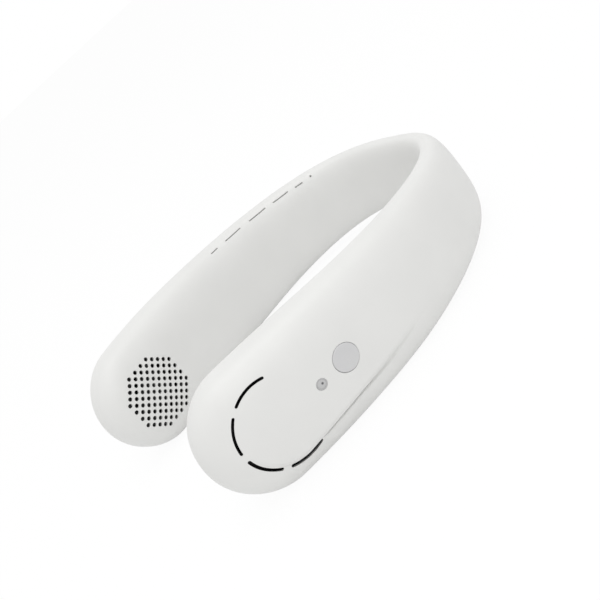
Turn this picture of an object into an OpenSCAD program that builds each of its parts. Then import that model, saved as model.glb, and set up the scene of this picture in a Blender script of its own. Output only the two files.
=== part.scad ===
// Neck fan: a rigid horseshoe band, open at the front, with a blower in the pod at each tip.
// Millimetres. +Z is up as worn, the tips point along -Y, and the wearer's left arm is at +X.
// The origin is under the middle of the whole fan, on the plane that it rests on.

/* [Band] */
// Distance of each pod's centre from the mirror plane
pod_x = 60.5; // [56:0.5:66]
// Distance from the back of the band to the pod centres, front to back
arm_length = 162.5; // [155:0.5:170]
// Reach of the centreline's handle at the back of the neck
back_handle = 62.5; // [57:0.5:68]
// Reach of the centreline's handle at each pod
arm_handle = 101.5; // [94:0.5:108]
// Angle by which each arm turns in at its tip, in degrees
arm_turn = 15; // [11:1:18]
// Height of the pods
pod_height = 56; // [54:0.5:62]
// Thickness of the pods
pod_depth = 29; // [28:0.5:33]
// Height of the band at the back of the neck
back_height = 35.5; // [31:0.5:40]
// Thickness of the band at the back of the neck
back_depth = 11; // [10:0.5:14]
// Rise of the band's underside at the back of the neck
back_lift = 5.4; // [3:0.1:8]
// Wall of both shells
wall = 1.6; // [1.3:0.1:1.8]
// Depth of the flat that the band's underside rests on
rest_cut = 0.35; // [0.2:0.05:0.5]

/* [Raised panel] */
// Depth by which the band falls away below the raised panel's lower edge
panel_step = 1.2; // [0.8:0.1:1.6]
// Half width of the raised panel on each pod's outer face
panel_r = 17.8; // [17:0.1:18.6]
// Distance of the panel's round end from the pod's centre
panel_shift = 6.6; // [5:0.2:8]
// Half width of the raised panel where it has faded into the band
panel_end_r = 12; // [11:0.2:14]
// Distance from the pod's centre at which the panel starts to fade into the band
panel_fade = 44; // [42:1:50]
// Distance from the pod's centre at which the panel has faded into the band
panel_end = 80; // [70:1:90]

/* [Intakes and outlets] */
// Pitch of the round holes in each inner grille
hole_pitch = 3.15; // [3:0.05:3.4]
// Diameter of the round holes
hole_d = 2.1; // [1.5:0.05:2.2]
// Distance from the pod's centre to the grille's centre, towards the tip
grille_shift = 2; // [1:0.2:3.4]
// Distance from the pod's centre to the grille's centre, towards the underside
grille_drop = 0.9; // [0:0.1:1.6]
// Radius of the ring that the four curved slots lie on
slot_ring_r = 19.3; // [18.8:0.1:20]
// Width of the curved slots
slot_w = 1.2; // [0.8:0.05:1.4]
// Width of the outlets along the top inner edge
outlet_w = 2.2; // [1.6:0.1:2.6]
// Diameter of the pinhole behind the last outlet
pinhole_d = 1.2; // [0.8:0.1:1.6]

/* [Blower] */
// Depth of the pod that the blower housing leaves free, on both sides together
fan_clear = 13; // [12.8:0.1:14]
// Distance between the pod's edge and the inside of the blower housing
fan_room = 9; // [8.6:0.1:9.4]
// Wall and plates of the blower housing
fan_wall = 1.1; // [0.9:0.1:1.2]
// Gap round the impeller in its housing
tip_gap = 2.4; // [1.8:0.1:3]
// Number of impeller blades
blades = 25; // [15:2:31]
// Diameter of the motor shaft
shaft_d = 1.5; // [1.2:0.1:2]
// Radius of the rotor cup as a share of the housing's inner radius
cup_share = 0.495; // [0.47:0.005:0.52]

/* [Controls] */
// Diameter of the power button
button_d = 11.7; // [10:0.1:12.5]
// Distance of the button from the pod's centre
button_s = 39.5; // [39:0.1:42]
// Height of the button above the band's middle line
button_y = 0.5; // [0:0.1:1]
// Travel of the button
button_travel = 0.5; // [0.3:0.05:0.6]
// Diameter of the indicator lens
lens_d = 4.7; // [4:0.1:5.2]
// Distance of the lens from the pod's centre
lens_s = 26.2; // [26:0.1:28]

/* [Power] */
// Length of each battery cell
cell_l = 46; // [38:1:48]
// Height of each battery cell
cell_h = 24; // [20:0.5:26]
// Thickness of each battery cell
cell_t = 7; // [5:0.2:7.6]
// Distance of each cell's middle from the pod's centre
cell_s = 87; // [86:0.5:90]
// Diameter of a wire
wire_d = 1.4; // [1:0.1:1.6]

/* [Hidden] */
left = 1;
right = -1;
$fn = 64;

// Shape of the band: exponent of its rounded sections, and how early its height and underside settle
section_power = 2.8;
height_ease = 0.85;
lift_share = 0.75;
// Facets of the shells: stations along each arm, steps over half a section, and steps round a tip
arm_steps = 28;
section_steps = 16;
tip_steps = 14;
// One overrun serves every cut, and one hair keeps cuts from grazing
over = 4;
// Clearance round parts that are dropped in, and the hair between a fixed pin and its hole
loose = 0.3;
snug = 0.02;

// Profile of the band

function smooth(x) = let (c = max(0, min(1, x))) c * c * (3 - 2 * c);
function power(x, e) = sign(x) * pow(abs(x), e);

tip_dir = [-sin(arm_turn), -cos(arm_turn)];
pod_at = [pod_x, -arm_length];
knots = [[0, 0], [back_handle, 0], pod_at - arm_handle * tip_dir, pod_at];
function curve(t) = pow(1 - t, 3) * knots[0] + 3 * pow(1 - t, 2) * t * knots[1]
    + 3 * (1 - t) * t * t * knots[2] + pow(t, 3) * knots[3];
function curve_speed(t) = 3 * pow(1 - t, 2) * (knots[1] - knots[0])
    + 6 * (1 - t) * t * (knots[2] - knots[1]) + 3 * t * t * (knots[3] - knots[2]);

// Arc length from the back of the neck against the curve's parameter
arc_steps = 120;
arc_table = [for (i = 0, s = 0; i <= arc_steps;
    s = s + norm(curve(min(i + 1, arc_steps) / arc_steps) - curve(i / arc_steps)), i = i + 1)
    [s, i / arc_steps]];
arc = arc_table[arc_steps][0];

// The band is measured by share v: 1 at the left pod, 0 at the back of the neck, -1 at the right pod
function share_at(s) = 1 - s / arc;
function curve_t(v) = lookup(abs(v) * arc, arc_table);
function flip(v) = v < 0 ? -1 : 1;
function unit2(p) = p / norm(p);
function back_dir(v) = -unit2(curve_speed(curve_t(v)));
function out_dir(v) = let (d = back_dir(v)) [flip(v) * d[1], -d[0]];
function half_depth(v) = (back_depth + (pod_depth - back_depth) * smooth(abs(v))) / 2;
function half_height(v) = (back_height + (pod_height - back_height) * smooth(pow(abs(v), height_ease))) / 2;
function underside(v) = back_lift * (1 - smooth(abs(v) / lift_share)) - rest_cut;
function mid_z(v) = underside(v) + half_height(v);
// The panel stands out along its lower edge, and runs into the band above its middle and at its end
function panel_share(s, z) = (1 - smooth((s - panel_fade) / (panel_end - panel_fade))) * smooth(-z / panel_r);
function face_drop(v, z) = panel_step * panel_share((1 - abs(v)) * arc, z);

// How far the rounded pod reaches past its centre, and the shift that centres the fan
dual_power = section_power / (section_power - 1);
tip_reach = pow(pow(pod_height / 2 * cos(arm_turn), dual_power)
    + pow(pod_depth / 2 * sin(arm_turn), dual_power), 1 / dual_power);
y_shift = (arm_length + tip_reach - back_depth / 2) / 2;

// Point at share v of the band, n outwards from its centreline and z up from its middle height
function band_point(v, n, z) = let (p = curve(curve_t(v)), o = out_dir(v))
    [flip(v) * p[0] + n * o[0], p[1] + y_shift + n * o[1], mid_z(v) + z];
// Point of a section at angle a, with the wall's inset taken off: a is 0 outwards and 90 at the top
function section_n(v, a, inset, z) = (half_depth(v) - (cos(a) > 0 ? face_drop(v, z) : 0) - inset)
    * power(cos(a), 2 / section_power);
function section_z(v, a, inset) = (half_height(v) - inset) * power(sin(a), 2 / section_power);
function section_point(v, a, inset) = let (z = section_z(v, a, inset))
    band_point(v, section_n(v, a, inset, z), z);
// Point of a tip at angle b round the pod's axis: 90 is up, 0 towards the tip and -90 down
function tip_point(side, b, a, inset) = let (r = section_z(1, a, inset), z = r * sin(b),
    n = section_n(1, a, inset, z), d = back_dir(1), o = out_dir(1),
    x = pod_at[0] - d[0] * r * cos(b) + o[0] * n)
    [side * x, pod_at[1] + y_shift - d[1] * r * cos(b) + o[1] * n, mid_z(1) + z];
// [along, outwards] in the left arm's frame at s, of a point q given alike in its frame at s0
function reframe(s, s0, q) = let (v = share_at(s), w = share_at(s0),
    p = curve(curve_t(w)) + q[0] * back_dir(w) + q[1] * out_dir(w) - curve(curve_t(v)))
    [p * back_dir(v), p * out_dir(v)];
// Half depth of a section at height z above its middle
function depth_at(v, z, inset) = (half_depth(v) - inset)
    * pow(max(0, 1 - pow(abs(z) / (half_height(v) - inset), section_power)), 1 / section_power);
// The same for the outer face, which falls away below the panel
function face_at(v, z, inset) = depth_at(v, z, inset) * (1 - face_drop(v, z) / (half_depth(v) - inset));
// Half height of a section at distance n from its middle
function height_at(v, n, inset) = (half_height(v) - inset)
    * pow(max(0, 1 - pow(abs(n) / (half_depth(v) - inset), section_power)), 1 / section_power);

// Meshes made of grids of points

function flat(lists) = [for (l = lists) each l];
function reversed(l) = [for (k = [len(l) - 1:-1:0]) l[k]];
function grid_face(a, cols, pole) = pole ? [a, a + 1, a + cols + 1] : [a, a + 1, a + cols + 1, a + cols];
function quad_faces(rows, cols, first, turn, pole) = [for (i = [0:rows - 2], j = [0:cols - 2])
    let (q = grid_face(first + i * cols + j, cols, pole && j == 0)) turn ? q : reversed(q)];
// Joins patches of the form [grid, turned over, first column is one point] into one solid
module patched(patches) {
    sizes = [for (p = patches) len(p[0]) * len(p[0][0])];
    starts = [for (i = 0, s = 0; i < len(patches); s = s + sizes[i], i = i + 1) s];
    polyhedron(points = flat([for (p = patches) flat(p[0])]),
        faces = flat([for (i = [0:len(patches) - 1]) let (p = patches[i])
            quad_faces(len(p[0]), len(p[0][0]), starts[i], p[1], p[2])]));
}
// A closed tube through rings of points, with its two ends capped
module lofted(rings) {
    m = len(rings[0]);
    n = len(rings);
    polyhedron(points = flat(rings), faces = concat(
        [[for (j = [0:m - 1]) j]],
        [for (i = [0:n - 2], j = [0:m - 1]) let (k = (j + 1) % m)
            [i * m + j, (i + 1) * m + j, (i + 1) * m + k, i * m + k]],
        [[for (j = [m - 1:-1:0]) (n - 1) * m + j]]));
}

// Half of the hollow band: face is 1 for the outer half and -1 for the half that faces the neck
stations = [for (i = [-arm_steps:arm_steps]) i / arm_steps];
module half_band(face) {
    half = section_steps / 2;
    step = 90 / half;
    function turned(a) = face > 0 ? a : 180 - a;
    function arm_skin(inset) = [for (v = stations)
        [for (k = [-half:half]) section_point(v, turned(k * step), inset)]];
    function arm_seam(a) = [for (v = stations) [for (w = [0, wall]) section_point(v, turned(a), w)]];
    function tip_skin(side, inset) = [for (i = [0:tip_steps]) [for (k = [0:half])
        tip_point(side, 90 - 180 * i / tip_steps, turned(k * step), inset)]];
    function tip_seam(side) = [for (i = [0:tip_steps]) [for (w = [0, wall])
        tip_point(side, 90 - 180 * i / tip_steps, 90, w)]];
    out = face > 0;
    patched([
        [arm_skin(0), !out, false], [arm_skin(wall), out, false],
        [arm_seam(90), !out, false], [arm_seam(-90), out, false],
        [tip_skin(left, 0), !out, true], [tip_skin(left, wall), out, true],
        [tip_skin(right, 0), out, true], [tip_skin(right, wall), !out, true],
        [tip_seam(left), !out, false], [tip_seam(right), out, false]
    ]);
}

// Places its children on an arm, s from the pod's centre: X towards the back, Y up, Z outwards
module on_arm(s, side) {
    v = share_at(s);
    p = band_point(v, 0, 0);
    d = back_dir(v);
    mirror([side < 0 ? 1 : 0, 0, 0]) translate(p) rotate([90, 0, atan2(d[1], d[0])]) children();
}
module both_arms() {
    for (side = [left, right]) mirror([side < 0 ? 1 : 0, 0, 0]) children();
}
module ring(r_out, r_in, h) {
    difference() {
        cylinder(r = r_out, h = h);
        translate([0, 0, -over]) cylinder(r = r_in, h = h + 2 * over);
    }
}
module stadium(l, w, h) {
    for (x = [-1, 1]) translate([x * (l - w) / 2, 0, 0]) cylinder(d = w, h = h);
    translate([-(l - w) / 2, -w / 2, 0]) cube([l - w, w, h]);
}

// Raised panel: the lower half of a pill, flat across, that follows the band until it fades out
panel_steps = 26;
panel_cols = 7;
panel_round_share = 0.35;
panel_sink = wall / 2;
panel_edge = 1.2;
panel_crown = 0.4;
function panel_s(i) = let (x = i / panel_steps) x < panel_round_share
    ? panel_shift - panel_r * cos(90 * x / panel_round_share)
    : panel_shift + (panel_end - panel_shift) * (x - panel_round_share) / (1 - panel_round_share);
function panel_half(s) = let (q = s - panel_shift)
    q > 0 ? panel_r - (panel_r - panel_end_r) * q / (panel_end - panel_shift)
    : max(panel_edge * 1.5, sqrt(max(0, panel_r * panel_r - q * q)));
// Past the pod's centre the panel lies in the pod's own flat plane
function panel_point(s, n, z) = s >= 0 ? band_point(share_at(s), n, z)
    : let (p = band_point(1, n, z), d = back_dir(1)) p + [d[0] * s, d[1] * s, 0];
// The band's own face, and the same where it has fallen away
function bare_face(s, z) = s >= 0 ? depth_at(share_at(s), abs(z), 0) : depth_at(1, norm([s, z]), 0);
function panel_base(s, z) = let (v = share_at(max(0, s)))
    bare_face(s, z) * (1 - face_drop(v, z) / half_depth(v));
function panel_flat(s, z) = half_depth(share_at(max(0, s))) - panel_crown * pow(z / panel_r, 2);
// Outwards place of the panel's top: it sinks under the face where it runs into the band
function panel_top(s, z, corner) = let (share = panel_share(s, z), bare = bare_face(s, z))
    bare + share * (panel_flat(s, z) - corner - bare) - (1 - share) * panel_sink / 2;
module panel() {
    // across each ring: along the underside from the lower edge, and back over the top and the edge
    lofted([for (i = [0:panel_steps]) let (s = panel_s(i), w = panel_half(s),
        across = concat([for (k = [0:panel_cols]) (panel_edge - w) * k / panel_cols], [-w]))
        [for (q = concat(
            [for (z = reversed(across)) [panel_base(s, z) - panel_sink, z]],
            [for (z = across) [panel_top(s, z, z == -w ? panel_edge : 0), z]]))
            panel_point(s, q[0], q[1])]]);
}

// Curved intake slots round the panel's end
slot_count = 4;
slot_pitch_angle = 57.5;
slot_angle = 43.5;
module curved_slots() {
    translate([panel_shift, 0, 0]) for (i = [0:slot_count - 1])
        rotate([0, 0, 180 + (i - (slot_count - 1) / 2) * slot_pitch_angle - slot_angle / 2]) {
            rotate_extrude(angle = slot_angle) translate([slot_ring_r - slot_w / 2, 0])
                square([slot_w, pod_depth]);
            for (a = [0, slot_angle]) rotate([0, 0, a]) translate([slot_ring_r, 0, 0])
                cylinder(d = slot_w, h = pod_depth);
        }
}

// Grille: 11 rows of round holes, cut off at the corners into a round patch, turned to stand on end
grille_rows = [5, 7, 9, 11, 11, 11, 11, 11, 9, 7, 5];
grille_turn = 43;
module grille_holes() {
    last = len(grille_rows) - 1;
    translate([-grille_shift, -grille_drop, -pod_depth]) rotate([0, 0, grille_turn])
        for (j = [0:last], i = [0:grille_rows[j] - 1])
            translate([i - (grille_rows[j] - 1) / 2, j - last / 2, 0] * hole_pitch)
                cylinder(d = hole_d, h = pod_depth, $fn = 24);
}

// Outlets along the top inner edge, each as [start, end] in shares of the arm from the pod's centre
outlet_shares = [[0.372, 0.399], [0.426, 0.483], [0.513, 0.572], [0.596, 0.648], [0.67, 0.697]];
pinhole_share = 0.724;
outlet_tilt = 31;
outlet_side_share = 0.46;
module outlet_cut(s, side) {
    v = share_at(s);
    n = half_depth(v) * outlet_side_share;
    on_arm(s, side) translate([0, height_at(v, n, wall), -n]) rotate([-90 - outlet_tilt, 0, 0])
        translate([0, 0, -over / 2]) children();
}
module outlets(side) {
    for (span = outlet_shares * arc)
        outlet_cut((span[0] + span[1]) / 2, side) stadium(span[1] - span[0], outlet_w, 2 * over);
    outlet_cut(pinhole_share * arc, side) cylinder(d = pinhole_d, h = 2 * over);
}
module rest_cutter() {
    translate([-pod_height * 4, -pod_height * 4, -over]) cube([pod_height * 8, pod_height * 8, over]);
}

// Blower: the inner face is at -Z, and the housing sits a little towards the neck
fan_offset = 0.4;
fan_h = pod_depth - fan_clear;
fan_r = pod_height / 2 - fan_room;
fan_z = -fan_offset - fan_h / 2;
fan_top = fan_z + fan_h;
impeller_r = fan_r - tip_gap;
cup_r = fan_r * cup_share;
outlet_reach = 3.5;
fan_out_x = fan_r + outlet_reach;
fan_out_low = 5.5;
intake_lap = 3;
intake_r = impeller_r - intake_lap;
motor_seat_r = cup_r + loose;
spoke_w = 2;
ear_r = 2.3;
ear_h = 1.2;
ear_lift = 3.5;
ear_z = fan_z + ear_lift;
ear_offset = 2.3;
ear_reach = fan_r + fan_wall + ear_offset;
ear_angles = [135, 225, 315];
// Half depth of the pod's hollow where an ear stands: the tip is round, and the arm is straight
function ear_wall(a) = depth_at(1, ear_reach * (cos(a) < 0 ? 1 : abs(sin(a))), wall);
screw_d = 1.6;
screw_l = 4.6;
head_d = 2.8;
head_h = 1;
boss_r = 1.9;
boss_sink = wall * 0.15;
board_t = 0.8;
cover_h = 1;
// The motor keeps its proportions: the stator's height is a share of the housing's, and the stator,
// its teeth and their tips, the hub ring, tube, bearing, cup wall and air gap are shares of the cup
stator_share = 0.25;
cup_shares = [0.766, 0.202, 0.106, 0.426, 0.319, 0.213, 0.064, 0.048];
stator_lift = 1.9;
stator_z = fan_z + fan_wall + board_t + stator_lift;
stator_h = fan_h * stator_share;
stator_r = cup_r * cup_shares[0];
tooth_w = cup_r * cup_shares[1];
tooth_tip = cup_r * cup_shares[2];
hub_ring_r = cup_r * cup_shares[3];
tube_r = cup_r * cup_shares[4];
bearing_r = cup_r * cup_shares[5];
cup_wall = cup_r * cup_shares[6];
magnet_gap = cup_r * cup_shares[7];
bearing_h = stator_z + stator_h - fan_z - fan_wall - loose / 3;
module scroll(grow) {
    circle(r = fan_r + grow);
    translate([0, fan_out_low - grow]) square([fan_out_x, fan_r - fan_out_low + 2 * grow]);
}
module scroll_hollow() {
    scroll(0);
    translate([0, fan_out_low]) square([fan_out_x + over, fan_r - fan_out_low]);
}
module at_ears() {
    for (a = ear_angles) rotate([0, 0, a]) translate([ear_reach, 0, 0]) children();
}
module fan_base() color("#1c1c1e") {
    difference() {
        union() {
            translate([0, 0, fan_z]) linear_extrude(fan_h - cover_h) scroll(fan_wall);
            at_ears() translate([0, 0, ear_z]) {
                cylinder(r = ear_r, h = ear_h);
                translate([-ear_r - fan_wall, -ear_r, 0]) cube([ear_r + fan_wall, 2 * ear_r, ear_h]);
            }
        }
        translate([0, 0, fan_z + fan_wall]) linear_extrude(fan_h) scroll_hollow();
        translate([0, 0, fan_z - over]) difference() {
            ring(intake_r, motor_seat_r, fan_wall + over + snug);
            for (a = [60:120:300]) rotate([0, 0, a]) translate([0, -spoke_w / 2, 0])
                cube([fan_r, spoke_w, fan_h]);
        }
        at_ears() translate([0, 0, ear_z - over]) cylinder(d = screw_d + loose, h = ear_h + 2 * over);
    }
    translate([0, 0, fan_z + fan_wall - snug]) ring(tube_r, bearing_r, bearing_h + snug);
}
module fan_cover() color("#232325") translate([0, 0, fan_top - cover_h]) {
    lip = 0.8;
    lip_h = 0.7;
    difference() {
        union() {
            linear_extrude(cover_h) scroll(fan_wall);
            cylinder(r = intake_r + lip, h = cover_h + lip_h);
        }
        translate([0, 0, -over]) cylinder(r = intake_r - lip, h = fan_h);
    }
}
// Foam ring between the housing and the inner shell, shaped to the pod's hollow
seal_lap = 2.2;
seal_proud = 1;
seal_in = fan_r - seal_lap;
seal_out = fan_r + seal_proud;
seal_steps = 4;
function seal_r(k) = seal_in + (seal_out - seal_in) * k / seal_steps;
module fan_seal() color("#3a3a3c") rotate_extrude()
    polygon([[seal_in, fan_z], [seal_out, fan_z],
        for (k = [seal_steps:-1:0]) [seal_r(k), loose - depth_at(1, seal_r(k), wall)]]);
module fan_screws() color("silver") {
    at_ears() translate([0, 0, ear_z + ear_h]) {
        difference() {
            cylinder(d = head_d, h = head_h);
            translate([0, 0, head_h / 2]) for (a = [0, 90]) rotate([0, 0, a])
                translate([-head_d / 3, -head_d / 14, 0]) cube([head_d * 2 / 3, head_d / 7, head_h]);
        }
        translate([0, 0, -screw_l]) cylinder(d = screw_d, h = screw_l + snug);
    }
}

// Outer-rotor motor: a stator on the housing's bearing tube, and a steel cup over it
tooth_count = 6;
coil_t = 1;
coil_gap = 0.3;
cup_room = 1.3;
cup_top = stator_z + stator_h + coil_t + cup_room;
cup_low = stator_z - coil_t;
magnet_in = stator_r + magnet_gap;
shaft_proud = 0.5;
shaft_top = cup_top + shaft_proud;
sensor_w = 1.9;
module motor_board() color("darkgreen") translate([0, 0, fan_z + fan_wall]) {
    difference() {
        ring(cup_r - snug, tube_r + snug, board_t);
        translate([-cup_r, -cup_r, -over]) cube([2 * cup_r, cup_r / 3, 3 * over]);
    }
    for (a = [60, 120]) rotate([0, 0, a]) translate([cup_r * 0.7 - sensor_w / 2, -sensor_w / 2, board_t])
        cube([sensor_w, sensor_w, board_t]);
}
module stator_core() color("dimgray") translate([0, 0, stator_z]) {
    difference() {
        union() {
            cylinder(r = hub_ring_r, h = stator_h);
            for (i = [0:tooth_count - 1]) rotate([0, 0, i * 360 / tooth_count]) {
                translate([0, -tooth_w / 2, 0]) cube([stator_r - tooth_tip / 2, tooth_w, stator_h]);
                intersection() {
                    ring(stator_r, stator_r - tooth_tip, stator_h);
                    translate([0, -tooth_w * 1.5, 0]) cube([stator_r, tooth_w * 3, stator_h]);
                }
            }
        }
        translate([0, 0, -over]) cylinder(r = tube_r + snug, h = stator_h + 2 * over);
    }
}
module stator_coils() color("#b8652a") translate([0, 0, stator_z]) {
    coil_in = hub_ring_r + coil_gap;
    coil_out = stator_r - tooth_tip - coil_gap;
    for (i = [0:tooth_count - 1]) rotate([0, 0, i * 360 / tooth_count]) difference() {
        translate([coil_in, -tooth_w / 2 - coil_t * 0.55, -coil_t])
            cube([coil_out - coil_in, tooth_w + coil_t * 1.1, stator_h + 2 * coil_t]);
        translate([coil_in - over, -tooth_w / 2 - snug, -snug])
            cube([coil_out + over, tooth_w + 2 * snug, stator_h + 2 * snug]);
    }
}
module sleeve_bearing() color("#a08050") translate([0, 0, fan_z + fan_wall]) {
    ring(bearing_r - snug, shaft_d / 2 + 1.5 * snug, bearing_h - loose);
}
module rotor_cup() color("lightgray") {
    translate([0, 0, cup_low]) ring(cup_r, cup_r - cup_wall, cup_top - cup_low);
    translate([0, 0, cup_top - cup_wall]) ring(cup_r, shaft_d / 2 + snug, cup_wall);
}
module magnet_ring() color("#2b2b2b") translate([0, 0, cup_low + cup_wall])
    ring(cup_r - cup_wall - snug, magnet_in, cup_top - cup_low - 2.5 * cup_wall);
module motor_shaft() color("silver") {
    groove_d = shaft_d * 0.8;
    low = fan_z + fan_wall + loose;
    translate([0, 0, low]) cylinder(d = shaft_d, h = shaft_top - low);
    translate([0, 0, low - loose / 2]) cylinder(d = groove_d, h = loose);
}

// Impeller: a hub pressed on the cup, a middle web, and curved blades with a rim ring at each end
hub_wall = 0.9;
hub_r = cup_r + snug + hub_wall;
impeller_gap = 0.7;
blade_low = fan_z + fan_wall + impeller_gap;
blade_top = fan_top - cover_h - impeller_gap;
blade_chord = 4.2;
blade_in = impeller_r - blade_chord;
blade_t = 0.6;
blade_bend = 3.4;
rim = 0.9;
web_t = 0.8;
module blade() {
    // a thin arc from the inner radius to the rim, cut from a ring whose centre lies beside it
    translate([(impeller_r + blade_in) / 2, -blade_bend, blade_low]) intersection() {
        ring(blade_bend + blade_t / 2, blade_bend - blade_t / 2, blade_top - blade_low);
        translate([-blade_chord / 2, 0, 0]) cube([blade_chord, 2 * blade_bend, blade_top - blade_low]);
    }
}
module impeller() color("#151517") {
    web_z = (blade_low + blade_top) / 2;
    hub_low = cup_low + cup_wall;
    difference() {
        union() {
            translate([0, 0, hub_low]) cylinder(r = hub_r, h = shaft_top + hub_wall - hub_low);
            translate([0, 0, web_z]) cylinder(r = impeller_r - rim / 2, h = web_t);
            for (z = [blade_low, blade_top - rim]) translate([0, 0, z])
                ring(impeller_r, impeller_r - rim, rim);
        }
        translate([0, 0, hub_low - over]) cylinder(r = cup_r + snug, h = cup_top + snug - hub_low + over);
        cylinder(d = shaft_d + 2 * snug, h = shaft_top + snug);
    }
    for (i = [0:blades - 1]) rotate([0, 0, i * 360 / blades]) blade();
}

// Duct floor above the battery, with a stop behind the last outlet
guide_y = 7.6;
guide_t = 1;
stop_t = 1;
stop_gap = 4;
guide_start = fan_out_x + fan_wall + guide_t;
guide_end = pinhole_share * arc + stop_gap;
guide_steps = 18;
guide_shares = [0.5, 0.75, 0.9, 1];
stop_top_share = 0.3;
// How far the floor and its stop reach: face is 1 outwards and -1 towards the neck
function guide_reach(v, z, face) = face * ((face > 0 ? face_at(v, z, wall) : depth_at(v, z, wall)) - loose);
function guide_ring(v) = [for (q = [[1, 0], [-1, 0], [-1, guide_t], [1, guide_t]])
    band_point(v, guide_reach(v, guide_y + q[1], q[0]), guide_y + q[1])];
function stop_edge(v, face) = let (top = half_height(v) - wall - loose)
    [for (k = guide_shares) let (inward = k < 1 ? 1 : stop_top_share)
        band_point(v, guide_reach(v, k * top, face) * inward, k * top)];
function stop_ring(v) = concat(
    [for (face = [1, -1]) band_point(v, guide_reach(v, guide_y, face), guide_y + guide_t / 2)],
    stop_edge(v, -1), reversed(stop_edge(v, 1)));
module air_guide() color("#e4e4e0") {
    lofted([for (i = [0:guide_steps]) let (x = i / guide_steps)
        guide_ring(share_at(guide_start + (guide_end - guide_start) * x))]);
    lofted([for (s = [guide_end - stop_t, guide_end]) stop_ring(share_at(s))]);
}

// Battery cells, flat pouches that stand on edge under the duct floor
cell_fold = 1.5;
// The duct floor falls with the band, and the cell stays under its lower end
floor_drop = mid_z(share_at(cell_s)) - mid_z(share_at(cell_s + cell_l / 2 + cell_fold));
cell_y = guide_y - floor_drop - loose - cell_h;
pad_l = 7;
pad_least = 1.4;
// Distance outwards of the outer wall at one end of the cell
function pad_wall(end) = let (s = cell_s + end * cell_l / 2)
    reframe(cell_s, s, [0, face_at(share_at(s), -cell_h / 2, wall) - loose])[1];
// The cell's outer face leaves room for the thinner of its two pads
cell_out = min(pad_wall(-1), pad_wall(1)) - pad_least;
module battery(tab) color("#8fa3ad") translate([0, cell_y, cell_out - cell_t / 2]) {
    translate([-cell_l / 2, 0, -cell_t / 2]) cube([cell_l, cell_h, cell_t]);
    translate([tab * (cell_l + cell_fold) / 2 - cell_fold / 2 - snug, cell_fold, -cell_fold / 2])
        cube([cell_fold + 2 * snug, cell_h - 2 * cell_fold, cell_fold]);
}
module battery_pads() color("#2a2a2a") for (end = [-1, 1])
    translate([end * (cell_l - pad_l) / 2 - pad_l / 2, cell_y + cell_h / 4, cell_out])
        cube([pad_l, cell_h / 2, pad_wall(end) - cell_out]);

// Main board: it stands behind the button in the left arm, with the socket at its lower edge
face_n = half_depth(share_at(button_s));
board_deep = 9.6;
board_l = 31;
board_high = 5.6;
board_x = -14.8;
board_z = face_n - board_deep;
board_thick = 1.2;
board_post_r = 1.9;
usb_l = 8.9;
usb_t = 3.2;
usb_h = 7.4;
usb_wall = 0.3;
usb_x = 4;
usb_n = board_z - usb_t / 2 - snug;
usb_recess = 0.5;
usb_low = -height_at(share_at(button_s), usb_n, 0) + usb_recess;
usb_lap = 3.3;
board_low = usb_low + usb_h - usb_lap;
board_h = board_high - board_low;
hole_inset = 3.3;
board_holes = [[board_x + hole_inset, board_low + hole_inset],
    [board_x + board_l - hole_inset, board_high - hole_inset]];
screw_top = board_z + board_thick + screw_l / 2;
module at_board_holes() {
    for (h = board_holes) translate(h) children();
}
switch_w = 6;
switch_h = 3;
plunger_d = 3.2;
flange = 0.9;
flange_t = 0.8;
button_proud = 0.25;
button_gap = 0.2;
flange_gap = 0.5;
// The flange lies under the lowest part of the wall round the hole
function flange_under(s, y) = let (v = share_at(s)) face_at(v, y, wall) - flange_gap;
flange_top = flange_under(button_s, button_y - button_d / 2 - flange);
well_low = board_z + board_thick + switch_h / 3;
module main_board() color("#1f5a3a") difference() {
    translate([board_x, board_low, board_z]) cube([board_l, board_h, board_thick]);
    at_board_holes() translate([0, 0, board_z - over]) cylinder(d = screw_d + loose, h = 3 * over);
}
// Charging chip, controller, coil, two capacitors and the wire socket, on the side that faces the
// neck: each as shares of the board's [length, height, length, height, socket's thickness]
chip_shares = [[0.14, 0.5, 0.16, 0.16, 0.18], [0.38, 0.56, 0.13, 0.14, 0.18], [0.76, 0.16, 0.15, 0.15, 0.3],
    [0.14, 0.76, 0.1, 0.08, 0.15], [0.56, 0.76, 0.07, 0.1, 0.15], [0.67, 0.4, 0.15, 0.24, 1]];
socket_t = 6;
socket_x = board_x + board_l * (chip_shares[5][0] + chip_shares[5][2]);
module board_chips() color("#222222") for (c = chip_shares)
    translate([board_x + c[0] * board_l, board_low + c[1] * board_h, board_z - c[4] * socket_t])
        cube([c[2] * board_l, c[3] * board_h, c[4] * socket_t]);
module board_screws() color("silver") at_board_holes() translate([0, 0, board_z - head_h]) {
    cylinder(d = head_d, h = head_h);
    cylinder(d = screw_d, h = screw_top - board_z + head_h);
}
plunger_low = well_low + button_travel + button_gap;
module switch_body() color("#d8d8d8") translate([0, button_y, 0]) difference() {
    translate([-switch_w / 2, -switch_w / 2, board_z + board_thick]) cube([switch_w, switch_w, switch_h]);
    translate([0, 0, well_low]) cylinder(d = plunger_d + 2 * button_gap, h = switch_h);
}
module switch_plunger() color("#111111") translate([0, button_y, plunger_low])
    cylinder(d = plunger_d, h = flange_top - flange_t - plunger_low);
module button_cap() color("#cbcbcc") translate([0, button_y, flange_top]) {
    translate([0, 0, -flange_t]) cylinder(d = button_d + 2 * flange, h = flange_t);
    translate([0, 0, -snug]) cylinder(d = button_d, h = face_n + button_proud - flange_top + snug);
}
module usb_shell() color("silver") translate([usb_x, usb_low, usb_n]) rotate([-90, 0, 0]) difference() {
    stadium(usb_l, usb_t, usb_h);
    translate([0, 0, -over]) stadium(usb_l - 2 * usb_wall, usb_t - 2 * usb_wall, usb_h + over - usb_wall);
}
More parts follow.
